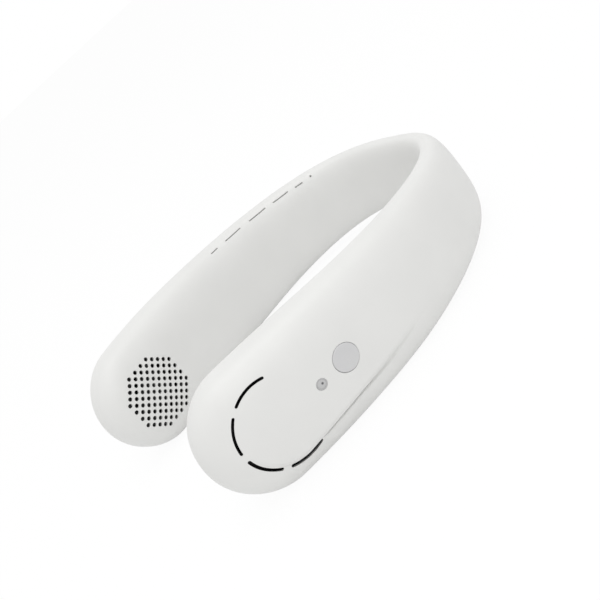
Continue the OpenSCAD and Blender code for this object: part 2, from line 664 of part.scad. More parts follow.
module usb_tongue() color("#1a1a1a") translate([usb_x, usb_low, usb_n]) {
    tongue_w = usb_l * 0.72;
    tongue_t = usb_t / 4;
    translate([-tongue_w / 2, usb_wall * 2, -tongue_t / 2]) cube([tongue_w, usb_h - 3 * usb_wall, tongue_t]);
}
lens_x = button_s - lens_s;
lens_face = 0.15;
lens_gap = 0.1;
led_w = 2;
led_t = 0.8;
module on_lens_axis() {
    on_arm(lens_s, left) children();
}
lens_n = half_depth(share_at(lens_s));
lens_flange_z = flange_under(lens_s, -lens_d / 2 - flange) + loose - flange_t;
// The light pipe's stem stops just above the indicator
lens_stem_z = reframe(lens_s, button_s, [-lens_x, board_z + board_thick + led_t])[1] + loose;
module light_lens() color("#c8c8c8") {
    translate([0, 0, lens_flange_z]) {
        cylinder(d = lens_d, h = lens_n - lens_face - lens_flange_z);
        cylinder(d = lens_d + 2 * flange, h = flange_t);
    }
    translate([0, 0, lens_stem_z]) cylinder(d = lens_d * 0.6, h = lens_flange_z - lens_stem_z + snug);
}
module indicator_led() color("white") translate([-lens_x, 0, board_z + board_thick])
    translate([-led_w / 2, -led_w / 2, 0]) cube([led_w, led_w, led_t]);

// Wires run from the board's socket past the left cell, then through the back of the band
wire_sides = 6;
wire_steps = 36;
// How far inwards they pass a cell, halfway between it and the inner wall, where each lies, and how
// far on from the socket they bend aside
wire_deep = (cell_t - cell_out + half_depth(share_at(cell_s)) - wall) / 2;
wire_low = 6;
wire_pitch = wire_d + loose;
wire_bend = 11;
wire_start = button_s + socket_x + loose;
link_end = cell_s + cell_l / 2 + cell_fold + loose;
wire_z = -wire_low - wire_pitch;
lead_z = wire_z - wire_pitch;
lead_end = sqrt(pow(fan_r + fan_wall, 2) - pow(lead_z + wire_d / 2, 2)) + loose;
// Inwards of the centreline beside a cell, and on it at the socket and in the thin back of the band
function wire_n(v, past_cell) = let (s = (1 - v) * arc)
    v > 0 ? -wire_deep * smooth((v - 0.15) / 0.35) * smooth((s - wire_start) / wire_bend)
    : past_cell ? -wire_deep * smooth((-v - 0.15) / 0.35) : 0;
module wire(k, s_end, past_cell) {
    from = share_at(wire_start);
    to = -share_at(s_end);
    lofted([for (i = [0:wire_steps]) let (v = from + (to - from) * i / wire_steps,
        n = wire_n(v, past_cell), drop = smooth(abs(v) * 4) * (wire_low + wire_pitch))
        [for (j = [0:wire_sides - 1]) let (a = -360 * j / wire_sides)
            band_point(v, n + wire_d / 2 * cos(a), -drop + (1 - k) * wire_pitch + wire_d / 2 * sin(a))]]);
}
// Lead from the left blower to the underside of the board
module motor_lead() color("steelblue") {
    x = reframe(button_s, 0, [lead_end, board_z])[0];
    lead_l = board_x + hole_inset - x;
    translate([x, lead_z, board_z - wire_d / 2 - snug]) rotate([0, 90, 0]) cylinder(d = wire_d, h = lead_l);
}

// The socket's opening, which may cross the parting line
module port_opening() on_arm(button_s, left) translate([usb_x, -pod_height, usb_n]) rotate([-90, 0, 0])
    stadium(usb_l + 2 * button_gap, usb_t + 2 * button_gap, pod_height / 2 + over);
function post_top(y) = face_at(share_at(button_s), y, wall) + wall / 4;
module outer_shell() color("#e6e6e3") difference() {
    union() {
        half_band(1);
        both_arms() panel();
        // posts that hold the main board
        on_arm(button_s, left) for (h = board_holes) translate([h[0], h[1], board_z + board_thick])
            cylinder(r = board_post_r, h = post_top(h[1]) - board_z - board_thick);
    }
    for (side = [left, right]) on_arm(0, side) curved_slots();
    on_arm(button_s, left) {
        translate([0, button_y, 0]) cylinder(d = button_d + 2 * button_gap, h = pod_depth);
        at_board_holes() cylinder(d = screw_d + 2 * snug, h = screw_top + loose);
    }
    port_opening();
    on_lens_axis() cylinder(d = lens_d + 2 * lens_gap, h = pod_depth);
    rest_cutter();
}
module inner_shell() color("#e2e2de") difference() {
    union() {
        half_band(-1);
        for (side = [left, right]) on_arm(0, side) for (a = ear_angles) rotate([0, 0, a])
            translate([ear_reach, 0, -ear_wall(a) - boss_sink])
                cylinder(r = boss_r, h = ear_wall(a) + boss_sink + ear_z);
    }
    for (side = [left, right]) {
        on_arm(0, side) {
            grille_holes();
            at_ears() translate([0, 0, ear_z + ear_h - screw_l - loose])
                cylinder(d = screw_d + 2 * snug, h = screw_l + over);
        }
        outlets(side);
    }
    port_opening();
    rest_cutter();
}

outer_shell();
inner_shell();
on_arm(0, left) fan_base();  // fan_base_left
on_arm(0, right) fan_base();  // fan_base_right
on_arm(0, left) fan_cover();  // fan_cover_left
on_arm(0, right) fan_cover();  // fan_cover_right
on_arm(0, left) fan_seal();  // fan_seal_left
on_arm(0, right) fan_seal();  // fan_seal_right
on_arm(0, left) fan_screws();  // fan_screws_left
on_arm(0, right) fan_screws();  // fan_screws_right
on_arm(0, left) impeller();  // impeller_left
on_arm(0, right) impeller();  // impeller_right
on_arm(0, left) rotor_cup();  // rotor_cup_left
on_arm(0, right) rotor_cup();  // rotor_cup_right
on_arm(0, left) magnet_ring();  // magnet_ring_left
on_arm(0, right) magnet_ring();  // magnet_ring_right
on_arm(0, left) motor_shaft();  // motor_shaft_left
on_arm(0, right) motor_shaft();  // motor_shaft_right
on_arm(0, left) sleeve_bearing();  // sleeve_bearing_left
on_arm(0, right) sleeve_bearing();  // sleeve_bearing_right
on_arm(0, left) stator_core();  // stator_core_left
on_arm(0, right) stator_core();  // stator_core_right
on_arm(0, left) stator_coils();  // stator_coils_left
on_arm(0, right) stator_coils();  // stator_coils_right
on_arm(0, left) motor_board();  // motor_board_left
on_arm(0, right) motor_board();  // motor_board_right
air_guide();  // air_guide_left
mirror([1, 0, 0]) air_guide();  // air_guide_right
on_arm(cell_s, left) battery(-1);  // battery_left
on_arm(cell_s, right) battery(1);  // battery_right
on_arm(cell_s, left) battery_pads();  // battery_pads_left
on_arm(cell_s, right) battery_pads();  // battery_pads_right
on_arm(button_s, left) main_board();
on_arm(button_s, left) board_chips();
on_arm(button_s, left) board_screws();
on_arm(button_s, left) usb_shell();
on_arm(button_s, left) usb_tongue();
on_arm(button_s, left) switch_body();
on_arm(button_s, left) switch_plunger();
on_arm(button_s, left) button_cap();
on_lens_axis() light_lens();
on_arm(button_s, left) indicator_led();
color("firebrick") wire(0, link_end, false);  // wire_red
color("#111111") wire(1, link_end, false);  // wire_black
color("steelblue") wire(2, lead_end, true);  // wire_blue
on_arm(button_s, left) motor_lead();
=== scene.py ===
import math

import bpy
import numpy as np
from mathutils import Matrix, Vector


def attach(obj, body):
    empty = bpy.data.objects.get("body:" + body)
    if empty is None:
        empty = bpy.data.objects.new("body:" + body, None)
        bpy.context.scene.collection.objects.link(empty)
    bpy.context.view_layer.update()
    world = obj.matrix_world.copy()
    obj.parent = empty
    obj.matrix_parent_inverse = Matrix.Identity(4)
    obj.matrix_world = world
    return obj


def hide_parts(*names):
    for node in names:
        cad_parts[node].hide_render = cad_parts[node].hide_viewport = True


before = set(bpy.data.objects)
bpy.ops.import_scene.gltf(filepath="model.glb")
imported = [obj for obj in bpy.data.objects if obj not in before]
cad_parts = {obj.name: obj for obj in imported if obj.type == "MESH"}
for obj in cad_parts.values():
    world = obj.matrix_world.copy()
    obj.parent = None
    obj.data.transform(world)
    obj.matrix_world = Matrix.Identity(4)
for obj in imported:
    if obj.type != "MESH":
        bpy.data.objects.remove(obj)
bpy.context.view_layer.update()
bpy.ops.object.select_all(action="DESELECT")

# Outer shell: the half of the band that faces away from the neck, moulded in off-white ABS. On each
# pod the face falls away below a pill-shaped panel, whose upper side runs smoothly into the band.
# Its inner wall is 1.6 mm under its face, and it meets the inner shell edge to edge.
MM = 0.001
POD_X, ARM_LENGTH, BACK_HANDLE, ARM_HANDLE, ARM_TURN = 60.5, 162.5, 62.5, 101.5, math.radians(15)
POD_HEIGHT, POD_DEPTH, BACK_HEIGHT, BACK_DEPTH, BACK_LIFT = 56, 29, 35.5, 11, 5.4
SECTION_POWER, HEIGHT_EASE, LIFT_SHARE = 2.8, 0.85, 0.75
WALL, REST_CUT = 1.6, 0.35
PANEL_STEP, PANEL_R, PANEL_END_R, PANEL_SHIFT, PANEL_FADE, PANEL_END = 1.2, 17.8, 12, 6.6, 44, 80
PANEL_CROWN, PANEL_EDGE, EDGE_DROP, EDGE_POWER = 0.4, 1.8, 0.7, 1.4
# The groove along the panel's foot is given as distances from the foot and the share of its depth
# there. It starts just behind the pod's middle, widens towards the back and fades out with the panel.
CREASE = ((0, 1), (0.5, 1), (0.9, 1), (1.1, 0.9), (1.25, 0.66), (1.4, 0.4), (1.6, 0.22), (2.1, 0.1), (3, 0))
CREASE_T, CREASE_GAP, CREASE_START, CREASE_RISE, CREASE_FADE, CREASE_END = 1.5, 0.03, 12, 5, 46, 76
CREASE_NARROW, CREASE_WIDEN, WIDEN_FROM, WIDEN_OVER = 0.25, 1.2, 32, 28
SEAM_CHAMFER, SHARP = 0.08, math.radians(32)
# Points along an arm's straight edge and round its tip, rows across the parts of the face and of the
# wall, and where the flank's rows start
ALONG, ROUND_TIP = 124, 64
CROWN_ROWS, EDGE_ROWS, FLANK_ROWS, WALL_ROWS, FLANK_START = 10, 6, 15, 12, 0.66


def smooth(x):
    c = np.clip(x, 0, 1)
    return c * c * (3 - 2 * c)


tip_way = np.array([-math.sin(ARM_TURN), -math.cos(ARM_TURN)])
pod_at = np.array([POD_X, -ARM_LENGTH])
knots = np.array([(0, 0), (BACK_HANDLE, 0), pod_at - ARM_HANDLE * tip_way, pod_at])
dual_power = SECTION_POWER / (SECTION_POWER - 1)
tip_reach = ((POD_HEIGHT / 2 * math.cos(ARM_TURN)) ** dual_power
             + (POD_DEPTH / 2 * math.sin(ARM_TURN)) ** dual_power) ** (1 / dual_power)
y_shift = (ARM_LENGTH + tip_reach - BACK_DEPTH / 2) / 2


def centreline(t):
    t = np.asarray(t, float)[..., None]
    return ((1 - t) ** 3 * knots[0] + 3 * (1 - t) ** 2 * t * knots[1]
            + 3 * (1 - t) * t * t * knots[2] + t ** 3 * knots[3])


def heading(t):
    t = np.asarray(t, float)[..., None]
    way = ((1 - t) ** 2 * (knots[0] - knots[1]) + 2 * (1 - t) * t * (knots[1] - knots[2])
           + t * t * (knots[2] - knots[3]))
    return way / np.linalg.norm(way, axis=-1, keepdims=True)


curve_t = np.linspace(0, 1, 2001)
curve_s = np.concatenate([[0], np.cumsum(np.linalg.norm(np.diff(centreline(curve_t), axis=0), axis=1))])
ARC = curve_s[-1]


# The band is measured by s, in millimetres from the left pod's centre to the back of the neck
def share(s):
    return 1 - np.maximum(s, 0) / ARC


def half_depth(s):
    return (BACK_DEPTH + (POD_DEPTH - BACK_DEPTH) * smooth(share(s))) / 2


def half_height(s):
    return (BACK_HEIGHT + (POD_HEIGHT - BACK_HEIGHT) * smooth(share(s) ** HEIGHT_EASE)) / 2


def middle(s):
    return BACK_LIFT * (1 - smooth(share(s) / LIFT_SHARE)) - REST_CUT + half_height(s)


def panel_drop(s, z):
    """How far the band falls away below the panel, until the panel fades out."""
    fade = 1 - smooth((s - PANEL_FADE) / (PANEL_END - PANEL_FADE))
    return PANEL_STEP * fade * smooth(-z / PANEL_R)


def face_height(s, z, inset=0.0, drop=0.0):
    """How far out the face lies: past the pod's centre, s below 0, the tip is round."""
    reach = np.where(s < 0, np.hypot(s, z), np.abs(z)) / (half_height(s) - inset)
    return (half_depth(s) - inset - drop) * np.maximum(0, 1 - reach ** SECTION_POWER) ** (1 / SECTION_POWER)


def place(s, n, z):
    """Points of the left arm in metres: s along the band, n outwards, z above its middle."""
    t = np.interp(ARC - np.maximum(s, 0), curve_s, curve_t)
    p, d = centreline(t), heading(t)
    back = np.minimum(s, 0)
    x = p[..., 0] + n * d[..., 1] + back * d[..., 0]
    y = p[..., 1] - n * d[..., 0] + back * d[..., 1] + y_shift
    return np.stack([x, y, np.maximum(middle(s) + z, 0)], -1) * MM


def rim_path(inset):
    """The shell's rim in the arm's own plane, from the back's top round the tip to the back's foot."""
    straight = np.linspace(ARC, PANEL_SHIFT, ALONG)
    r = POD_HEIGHT / 2
    d = np.linspace(0, 2 * PANEL_SHIFT + math.pi * r, ROUND_TIP + 1)[1:-1]
    s_top = PANEL_SHIFT - d
    s_low = PANEL_SHIFT - (d[-1] + d[0] - d)
    a = math.pi / 2 + (d - PANEL_SHIFT) / r
    s = np.where(s_top > 0, s_top, np.where(s_low > 0, s_low, (r - inset) * np.cos(a)))
    up = half_height(s) - inset
    z = np.where(s_top > 0, up, np.where(s_low > 0, -up, (r - inset) * np.sin(a)))
    ends = half_height(straight) - inset
    return np.stack([np.concatenate([straight, s, straight[::-1]]),
                     np.concatenate([ends, z, -ends[::-1]])], -1)


def vertices(piece):
    co = np.empty(len(piece.data.vertices) * 3)
    piece.data.vertices.foreach_get("co", co)
    return co.reshape(-1, 3)


def pick(*pieces):
    """Selects pieces and nothing else, with the first of them active."""
    bpy.ops.object.select_all(action="DESELECT")
    for piece in pieces:
        piece.select_set(True)
    bpy.context.view_layer.objects.active = pieces[0]


def apply_modifier(piece, kind, **settings):
    pick(piece)
    modifier = piece.modifiers.new(kind.lower(), kind)
    for key, value in settings.items():
        setattr(modifier, key, value)
    bpy.ops.object.modifier_apply(modifier=modifier.name)


def moulded(name, rows):
    """A grid laid through rows of points on the left half of the band, mirrored into a whole shell."""
    count, across = len(rows[0]), len(rows)
    bpy.ops.mesh.primitive_grid_add(x_subdivisions=count - 1, y_subdivisions=across - 1, size=2)
    shell = bpy.context.object
    shell.name = shell.data.name = name
    co = vertices(shell)
    i = np.rint((co[:, 0] + 1) / 2 * (count - 1)).astype(int)
    j = np.rint((co[:, 1] + 1) / 2 * (across - 1)).astype(int)
    shell.data.vertices.foreach_set("co", np.array(rows)[j, i].ravel())
    apply_modifier(shell, "MIRROR", use_clip=True, merge_threshold=0.005 * MM)
    bpy.ops.object.mode_set(mode="EDIT")
    bpy.ops.mesh.select_all(action="SELECT")
    bpy.ops.mesh.remove_doubles(threshold=0.01 * MM)
    bpy.ops.mesh.normals_make_consistent(inside=False)
    bpy.ops.object.mode_set(mode="OBJECT")
    return shell


def spread(start, steps):
    """Shares from start to 1 that crowd together where the section turns down to the rim."""
    first = math.asin(start ** (SECTION_POWER / 2))
    return [math.sin(first + (math.pi / 2 - first) * k / steps) ** (2 / SECTION_POWER)
            for k in range(steps + 1)]


rim, rim_within = rim_path(0), rim_path(WALL)
turn = np.linspace(math.pi / 2, 3 * math.pi / 2, ROUND_TIP + 1)[1:-1]
panel_half = np.where(rim[:, 0] > PANEL_SHIFT, PANEL_R - (PANEL_R - PANEL_END_R)
                      * np.clip((rim[:, 0] - PANEL_SHIFT) / (PANEL_END - PANEL_SHIFT), 0, 1), PANEL_R)
spine = np.stack([np.maximum(rim[:, 0], PANEL_SHIFT), np.zeros(len(rim))], -1)
ray = np.stack([np.zeros(len(rim)), np.sign(rim[:, 1])], -1)
ray[ALONG:-ALONG] = np.stack([np.cos(turn), np.sin(turn)], -1)


def outer_face(s, z, inset=0.0):
    return face_height(s, z, inset, panel_drop(s, z))


def panel_lift(s, z):
    bare = face_height(s, z)
    top = half_depth(s) - PANEL_CROWN * (z / PANEL_R) ** 2
    return bare + panel_drop(s, z) / PANEL_STEP * (top - bare) - outer_face(s, z)


def on_ray(distance):
    return (spine + ray * distance[:, None]).T


outer_rows = []
for k in range(CROWN_ROWS + 1):
    s, z = on_ray((panel_half - PANEL_EDGE) * k / CROWN_ROWS)
    outer_rows.append(place(s, outer_face(s, z) + panel_lift(s, z), z))
for k in range(1, EDGE_ROWS + 1):
    s, z = on_ray(panel_half - PANEL_EDGE * (1 - k / EDGE_ROWS))
    corner = EDGE_DROP * np.clip(panel_lift(s, z), 0, PANEL_EDGE) * (k / EDGE_ROWS) ** EDGE_POWER
    outer_rows.append(place(s, outer_face(s, z) + panel_lift(s, z) - corner, z))
creased = (smooth((rim[:, 0] - CREASE_START) / CREASE_RISE) * (rim[:, 1] < 0)
           * (1 - smooth((rim[:, 0] - CREASE_FADE) / (CREASE_END - CREASE_FADE))))
crease_wide = ((CREASE_NARROW + (1 - CREASE_NARROW) * creased)
               * (1 + CREASE_WIDEN * smooth((rim[:, 0] - WIDEN_FROM) / WIDEN_OVER)))
for d, deep in CREASE:
    s, z = on_ray(panel_half + CREASE_GAP + crease_wide * d)
    outer_rows.append(place(s, outer_face(s, z) - CREASE_T * deep * creased, z))
foot_line = np.stack([s, z], -1)
for x in spread(FLANK_START, FLANK_ROWS)[1:]:
    s, z = (foot_line + (rim - foot_line) * (x - FLANK_START) / (1 - FLANK_START)).T
    outer_rows.append(place(s, np.maximum(outer_face(s, z), SEAM_CHAMFER), z))
chamfered = rim + (rim_within - rim) * SEAM_CHAMFER / WALL
outer_rows.append(place(chamfered[:, 0], 0, chamfered[:, 1]))
for x in reversed(spread(0, WALL_ROWS)):
    s, z = (spine + (rim_within - spine) * x).T
    outer_rows.append(place(s, outer_face(s, z, WALL) if x < 1 else 0 * s, z))
outer_skin = moulded("outer_skin", outer_rows)

# Slots, button, lens and port: S lies along the band, X towards the back, Y up and N outwards, and R,
# D, L and T are radius, diameter, length and thickness, in millimetres
SLOT_R, SLOT_WIDTHS, SLOT_TURN, SLOT_PITCH = 19.3, (1.2, 1.2, 1.5, 1.7), 43.5, 57.5
SLOT_LIP, SLOT_RELIEF, SLOT_FROM, LIP_STEP, SLOT_SIDES, SLOT_END = 0.25, 1.1, 4, 0.02, 64, 8
BUTTON_S, BUTTON_Y, BUTTON_D, BUTTON_GAP, BUTTON_PROUD = 39.5, 0.5, 11.7, 0.15, 0.25
LENS_S, LENS_D, LENS_GAP = 26.2, 4.7, 0.1
PORT_L, PORT_T, PORT_X, PORT_N, PORT_GAP, PORT_CUT = 8.9, 3.2, 4, 2.39048, 0.15, 0.6
# How far out the holes of the button and the lens start
CUT_FROM = 6


def arm_frame(s):
    """The left arm's own frame at s, in millimetres: X towards the back, Y up and Z outwards."""
    t = np.interp(ARC - s, curve_s, curve_t)
    p, d = centreline(t), heading(t)
    return Matrix(((d[0], 0, d[1], p[0]), (d[1], 0, -d[0], p[1] + y_shift),
                   (0, 1, 0, middle(s)), (0, 0, 0, 1)))


def bar(reshape, matrix, sides, rings=0):
    """A round bar with rings round it, put in place once a function has moved its vertices. Their
    levels count up from 0 at the bar's lower end, over the rings, to its upper end."""
    bpy.ops.mesh.primitive_cylinder_add(vertices=sides, radius=1, depth=2)
    piece = bpy.context.object
    bpy.ops.object.mode_set(mode="EDIT")
    for k in range(rings):
        bpy.ops.mesh.select_all(action="SELECT")
        bpy.ops.mesh.bisect(plane_co=(0, 0, 2 * (k + 1) / (rings + 1) - 1), plane_no=(0, 0, 1))
    bpy.ops.object.mode_set(mode="OBJECT")
    co = vertices(piece)
    level = np.rint((co[:, 2] + 1) / 2 * (rings + 1)).astype(int)
    piece.data.vertices.foreach_set("co", reshape(co, level).ravel())
    piece.data.transform(Matrix.Scale(MM, 4) @ matrix)
    return piece


def stadium(length, width, low, high):
    """Turns a round bar into one with straight sides, from low to high along Z."""
    def reshape(co, level):
        x = co[:, 0] * width / 2 + np.sign(np.round(co[:, 0], 5)) * (length - width) / 2
        return np.stack([x, co[:, 1] * width / 2, np.where(level, high, low)], -1)
    return reshape


def over_pod(x, y, face, rounds=5):
    """How far out of the pod's own frame a face lies at x, y, as the band bends away behind the pod."""
    s, z = x.copy(), y.copy()
    for _ in range(rounds):
        at = place(s, face(s, z), z) / MM @ to_pod[:3, :3].T + to_pod[:3, 3]
        s, z = s + x - at[:, 0], z + y - at[:, 1]
    return at[:, 2]


def slot_outline(width, middle_turn):
    """The outline of a slot that is bent round the panel's end and has round ends."""
    half = math.radians(SLOT_TURN / 2)
    bend = np.linspace(-half, half, SLOT_SIDES // 2 - SLOT_END + 1)[:-1]
    tip = np.linspace(0, math.pi, SLOT_END + 1)[:-1]
    c, w = math.cos(half), math.sin(half)
    lead = width / 2 * np.sin(tip)
    outer, inner = SLOT_R + width / 2, SLOT_R - width / 2
    far, near = SLOT_R + width / 2 * np.cos(tip), SLOT_R - width / 2 * np.cos(tip)
    x = np.concatenate([outer * np.cos(bend), far * c - lead * w,
                        inner * np.cos(bend), near * c - lead * w])
    y = np.concatenate([outer * np.sin(bend), far * w + lead * c,
                        -inner * np.sin(bend), -near * w - lead * c])
    c, w = math.cos(middle_turn), math.sin(middle_turn)
    return np.stack([x * c - y * w + PANEL_SHIFT, x * w + y * c], -1)


def curved_slot(middle_turn, width):
    """Turns a round bar with two rings into a slot behind a thin lip, wider on the inside."""
    narrow, wide = slot_outline(width, middle_turn), slot_outline(width + SLOT_RELIEF, middle_turn)

    def reshape(co, level):
        k = np.rint(np.arctan2(co[:, 1], co[:, 0]) / (2 * math.pi) * SLOT_SIDES).astype(int) % SLOT_SIDES
        q = np.where((level < 2)[:, None], wide[k], narrow[k])
        lip = over_pod(q[:, 0], q[:, 1], outer_face) - SLOT_LIP
        depth = np.choose(level, [SLOT_FROM, lip - LIP_STEP, lip, POD_DEPTH])
        return np.stack([q[:, 0], q[:, 1], depth], -1)
    return reshape


def cut(shell, cutters, mirrored=False):
    """Joins the cutters, copies them to the right arm if asked, and takes them out of the shell."""
    pick(*cutters)
    bpy.ops.object.join()
    tool = cutters[0]
    if mirrored:
        apply_modifier(tool, "MIRROR", use_mirror_merge=False)
    bpy.ops.object.mode_set(mode="EDIT")
    bpy.ops.mesh.select_all(action="SELECT")
    bpy.ops.mesh.normals_make_consistent(inside=False)
    bpy.ops.object.mode_set(mode="OBJECT")
    apply_modifier(shell, "BOOLEAN", operation="DIFFERENCE", object=tool, solver="EXACT")
    bpy.data.objects.remove(tool)


pod = arm_frame(0)
to_pod = np.array(pod.inverted())
slots = []
for k, width in enumerate(SLOT_WIDTHS):
    middle_turn = math.pi + math.radians((k - (len(SLOT_WIDTHS) - 1) / 2) * SLOT_PITCH)
    slots.append(bar(curved_slot(middle_turn, width), pod, SLOT_SIDES, 2))
cut(outer_skin, slots, True)
board_frame, lens_frame = arm_frame(BUTTON_S), arm_frame(LENS_S)
button_frame = board_frame @ Matrix.Translation((0, BUTTON_Y, 0))
port_frame = (board_frame @ Matrix.Translation((PORT_X, -POD_HEIGHT, PORT_N))
              @ Matrix.Rotation(-math.pi / 2, 4, "X"))
button_hole, lens_hole = BUTTON_D + 2 * BUTTON_GAP, LENS_D + 2 * LENS_GAP
cut(outer_skin, [
    bar(stadium(button_hole, button_hole, CUT_FROM, POD_DEPTH), button_frame, 72),
    bar(stadium(lens_hole, lens_hole, CUT_FROM, POD_DEPTH), lens_frame, 48),
    bar(stadium(PORT_L + 2 * PORT_GAP, PORT_T + 2 * PORT_GAP, 0, POD_HEIGHT * PORT_CUT), port_frame, 48)])


def disc(r, low, high, matrix, sides=96):
    bpy.ops.mesh.primitive_cylinder_add(vertices=sides, radius=r * MM, depth=(high - low) * MM,
                                        location=(0, 0, (low + high) / 2 * MM))
    bpy.ops.object.transform_apply()
    piece = bpy.context.object
    piece.data.transform(Matrix.LocRotScale(matrix.translation * MM, matrix.to_quaternion(), None))
    return piece


def face_up(piece, axis):
    """Selects the faces of a piece that look along an axis and lie furthest along it."""
    bpy.ops.object.mode_set(mode="EDIT")
    bpy.ops.mesh.select_all(action="DESELECT")
    bpy.ops.object.mode_set(mode="OBJECT")
    flat = [f for f in piece.data.polygons if f.normal.dot(axis) > 0.99]
    top = max(f.center.dot(axis) for f in flat)
    for f in flat:
        f.select = f.center.dot(axis) > top - 1e-6
    bpy.ops.object.mode_set(mode="EDIT")


def grow(piece, axis, steps):
    """Draws the selected end of a piece out in steps of [how far in, how far out], in millimetres."""
    for inward, rise in steps:
        bpy.ops.mesh.inset(thickness=max(inward, 1e-4) * MM, depth=0)
        if rise:
            bpy.ops.transform.translate(value=axis * rise * MM)
    bpy.ops.object.mode_set(mode="OBJECT")


POST_R, SCREW_D, BOARD_DEEP, BOARD_T, POST_BORE = 1.9, 1.64, 9.6, 1.2, 2.6
POSTS = ((-11.5, -19.2546), (12.9, 2.3))


def bored(r, low, high, bore, matrix, upwards):
    """A round screw post with its bore in its upper or lower end."""
    piece = disc(r, low, high, matrix, 32)
    axis = matrix.to_3x3().col[2].normalized() * (1 if upwards else -1)
    face_up(piece, axis)
    grow(piece, axis, [(r - SCREW_D / 2, 0), (0.001, -bore)])
    return piece


def joined(skin, pieces, mirrored=False):
    """Adds pieces that were moulded in one with a skin, copied to the right arm if asked."""
    pick(*pieces)
    bpy.ops.object.join()
    if mirrored:
        apply_modifier(pieces[0], "MIRROR", use_mirror_merge=False)
    pick(skin, pieces[0])
    bpy.ops.object.join()


board_top = float(half_depth(BUTTON_S)) - BOARD_DEEP + BOARD_T
joined(outer_skin, [bored(POST_R, board_top, float(outer_face(BUTTON_S, y, WALL)) + WALL / 4, POST_BORE,
                          board_frame @ Matrix.Translation((x, y, 0)), False) for x, y in POSTS])


def linear(code):
    """Turns an sRGB hex colour to linear."""
    part = [int(code[k:k + 2], 16) / 255 for k in (0, 2, 4)]
    return [c / 12.92 if c <= 0.04045 else ((c + 0.055) / 1.055) ** 2.4 for c in part] + [1]


def material(name):
    made = bpy.data.materials.new(name)
    made.use_nodes = True
    made.node_tree.nodes.clear()
    return made, made.node_tree


def add(tree, kind, settings=None, **inputs):
    """Adds a node with its settings, and links or sets its inputs by name, or by number as _0, _1."""
    made = tree.nodes.new("ShaderNode" + kind)
    for key, value in (settings or {}).items():
        setattr(made, key, value)
    for key, value in inputs.items():
        socket = made.inputs[int(key[1:])] if key[1:].isdigit() else made.inputs[key.replace("_", " ")]
        if isinstance(value, bpy.types.NodeSocket):
            tree.links.new(value, socket)
        else:
            socket.default_value = value
    return made


GRAIN, GRAIN_DEPTH, SHEEN_DRIFT = 0.45, 0.012, 0.05


def moulded_plastic(name, code, other_code, roughness, grain=GRAIN):
    """Plastic from a spark-eroded mould: the eye sees an even satin face with a grain as fine as dust,
    tone that drifts by a hair where the melt flowed, and patches that shine a touch more. The real
    grain is about 0.1 mm; it is drawn coarser, at 0.45 mm on the housing, so that it shows."""
    made, tree = material(name)
    at = add(tree, "TexCoord").outputs["Object"]
    flow = add(tree, "TexNoise", Vector=at, Scale=1 / (22 * MM), Detail=2.0)
    handled = add(tree, "TexNoise", Vector=at, Scale=1 / (6 * MM), Detail=5.0, Roughness=0.65)
    spark = add(tree, "TexNoise", Vector=at, Scale=1 / (grain * MM), Detail=3.0, Roughness=0.6)
    drift = add(tree, "MapRange", Value=flow.outputs["Fac"], From_Min=0.35, From_Max=0.65)
    tone = add(tree, "Mix", {"data_type": "RGBA"}, _0=drift.outputs[0],
               _6=linear(code), _7=linear(other_code))
    rough = add(tree, "MapRange", Value=handled.outputs["Fac"], From_Min=0.3, From_Max=0.7,
                To_Min=roughness - SHEEN_DRIFT, To_Max=roughness + SHEEN_DRIFT)
    dents = add(tree, "Bump", Height=spark.outputs["Fac"], Strength=0.5, Distance=GRAIN_DEPTH * MM)
    shader = add(tree, "BsdfPrincipled", Base_Color=tone.outputs[2], Roughness=rough.outputs[0], IOR=1.53,
                 Normal=dents.outputs[0])
    add(tree, "OutputMaterial", Surface=shader.outputs[0])
    return made


def finish_skin(skin, node):
    """Gives a finished half of the housing its plastic and its place in the model."""
    pick(skin)
    bpy.ops.object.shade_smooth_by_angle(angle=SHARP)
    skin.data.materials.clear()
    skin.data.materials.append(satin_abs)
    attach(skin, "frame")
    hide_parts(node)


satin_abs = moulded_plastic("off_white_moulded_ABS", "e5e5e3", "e3e3e1", 0.42)
finish_skin(outer_skin, "outer_shell")

# Inner shell: the half that lies against the neck, moulded in the same ABS, smooth all over.
# Each pod's intake is a grille of round holes, and along the top edge of each arm come five air
# outlets and a pinhole.
NECK_ROWS = 26
neck_spine = np.stack([np.maximum(rim[:, 0], 0), np.zeros(len(rim))], -1)
inner_rows = []
for x in spread(0, NECK_ROWS):
    s, z = (neck_spine + (rim - neck_spine) * x).T
    inner_rows.append(place(s, -np.maximum(face_height(s, z), SEAM_CHAMFER), z))
inner_rows.append(place(chamfered[:, 0], 0, chamfered[:, 1]))
for x in reversed(spread(0, WALL_ROWS)):
    s, z = (neck_spine + (rim_within - neck_spine) * x).T
    inner_rows.append(place(s, -face_height(s, z, WALL) if x < 1 else 0 * s, z))
inner_skin = moulded("inner_skin", inner_rows)

GRILLE_ROWS = (5, 7, 9, 11, 11, 11, 11, 11, 9, 7, 5)
HOLE_PITCH, HOLE_D, GRILLE_SHIFT, GRILLE_DROP, GRILLE_TURN = 3.15, 2.1, 2, 0.9, math.radians(43)
HOLE_CHAMFER, HOLE_LIP, HOLE_RELIEF, HOLE_SIDES = 0.1, 0.6, 0.4, 20
# Outlets by where they start and end, and the pinhole, as shares of the way from the pod's centre to
# the back of the neck
OUTLETS = ((0.372, 0.399), (0.426, 0.483), (0.513, 0.572), (0.596, 0.648), (0.67, 0.697))
PINHOLE, PINHOLE_D, OUTLET_TILT, OUTLET_SIDE = 0.724, 1.2, math.radians(31), 0.46
OUTLET_W, OUTLET_SLIT, OUTLET_TRIM, OUTLET_CUT = 2.2, 0.75, 0.6, (-2, 6)


def inner_face(s, z):
    return -face_height(s, z)


